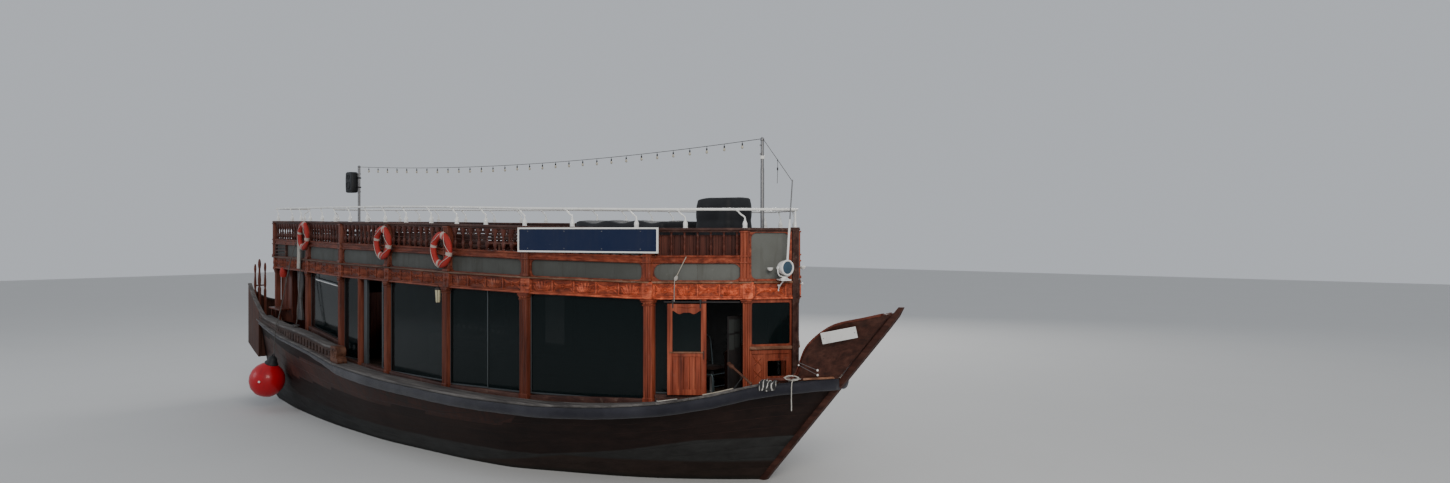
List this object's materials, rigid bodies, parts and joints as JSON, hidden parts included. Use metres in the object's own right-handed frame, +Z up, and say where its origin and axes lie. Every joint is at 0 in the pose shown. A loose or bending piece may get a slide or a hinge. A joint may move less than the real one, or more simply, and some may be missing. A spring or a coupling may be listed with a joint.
{
  "type": "wooden excursion dhow with glazed saloon and open upper deck",
  "caption": "Wooden excursion dhow: raked stem, low sheer, glazed saloon with carved frieze, balustraded open upper deck, turning rudder and propeller, sliding cabin doors.",
  "frame": {"origin": "on the centreline at the waterline, half way along the hull", "axes": "+X towards the bow, +Y to port, +Z up"},
  "size_m": [19.9567, 6.66, 7.8],
  "materials": {
    "hull_brown": "oiled, weathered",
    "bottom_paint": "matte bottom paint",
    "teak": "varnished",
    "teak_dark": "worn varnish",
    "fender_cover": "matte cover",
    "worn_wood": "bare and worn",
    "tinted_glass": "dark tint",
    "white_paint": "gloss",
    "black_cover": "tarpaulin",
    "sign_blue": "satin, blank",
    "plate_white": "gloss, blank",
    "buoy_orange": "faded",
    "buoy_red": "gloss",
    "bronze": "dull",
    "steel": "galvanised",
    "deck_wood": "worn planks",
    "seat_cover": "matte",
    "speaker_black": "textured"
  },
  "bodies": {
    "hull": {"hull": "hull_brown", "keel": "bottom_paint", "stem_post": "hull_brown", "rub_rail_port": "fender_cover", "rub_rail_starboard": "fender_cover", "capping_port": "worn_wood", "capping_starboard": "worn_wood", "quarter_rail_port": "teak_dark", "quarter_rail_starboard": "teak_dark", "stern_gallery": "hull_brown", "prow_bulwark_port": "hull_brown", "prow_bulwark_starboard": "hull_brown", "cabin_frame_port": "teak", "cabin_frame_starboard": "teak", "saloon_windows_port": "tinted_glass", "saloon_windows_starboard": "tinted_glass", "bow_panel_port": "teak", "bow_panel_starboard": "teak", "bow_window_port": "tinted_glass", "bow_window_starboard": "tinted_glass", "nose_post": "teak", "aft_bulkhead": "teak_dark", "stern_cubicle_port": "teak", "stern_cubicle_starboard": "teak", "upper_deck": "deck_wood", "balustrade_port": "teak", "balustrade_starboard": "teak", "pipe_rail": "white_paint", "upper_bench_port": "teak_dark", "upper_bench_starboard": "teak_dark", "low_seats": "black_cover", "covered_box": "black_cover", "aft_mast": "steel", "speaker": "speaker_black", "forward_mast": "steel", "forestay": "steel", "sign_board_port": "sign_blue", "sign_board_starboard": "sign_blue", "number_plate_port": "plate_white", "number_plate_starboard": "plate_white", "searchlight": "white_paint", "lifebuoy_1_port": "buoy_orange", "lifebuoy_1_starboard": "buoy_orange", "lifebuoy_2_port": "buoy_orange", "lifebuoy_2_starboard": "buoy_orange", "lifebuoy_3_port": "buoy_orange", "lifebuoy_3_starboard": "buoy_orange", "fender": "buoy_red", "stern_ladder": "teak", "saloon_bench_port": "seat_cover", "saloon_bench_starboard": "seat_cover", "helm_console": "teak_dark", "helm_chair": "seat_cover", "rudder_ring": "bronze"},
    "helm_wheel": {"helm_wheel": "teak"},
    "rudder": {"rudder": "bottom_paint"},
    "propeller": {"propeller": "bronze"},
    "port_door": {"cabin_door_port": "teak"},
    "starboard_door": {"cabin_door_starboard": "teak"}
  },
  "joints": [
    {"name": "rudder_turn", "type": "hinge", "parent": "hull", "child": "rudder", "pos_m": [-8.95, 0, -0.3], "axis": [0, 0, 1], "range_deg": [-35, 35]},
    {"name": "helm_wheel_turn", "type": "hinge", "parent": "hull", "child": "helm_wheel", "pos_m": [6.36, 0, 2.16], "axis": [1, 0, 0], "range_deg": [-281, 281]},
    {"name": "propeller_spin", "type": "hinge", "parent": "hull", "child": "propeller", "pos_m": [-8.2, 0, -0.82], "axis": [1, 0, 0], "continuous": true},
    {"name": "port_door_slide", "type": "slide", "parent": "hull", "child": "port_door", "axis": [0.7836, -0.6213, 0], "range_m": [0, 0.66]},
    {"name": "starboard_door_slide", "type": "slide", "parent": "hull", "child": "starboard_door", "axis": [0.7836, 0.6213, 0], "range_m": [0, 0.66]}
  ],
  "couplings": [
    {"joint": "helm_wheel_turn", "follows": "rudder_turn", "ratio": 8}
  ]
}
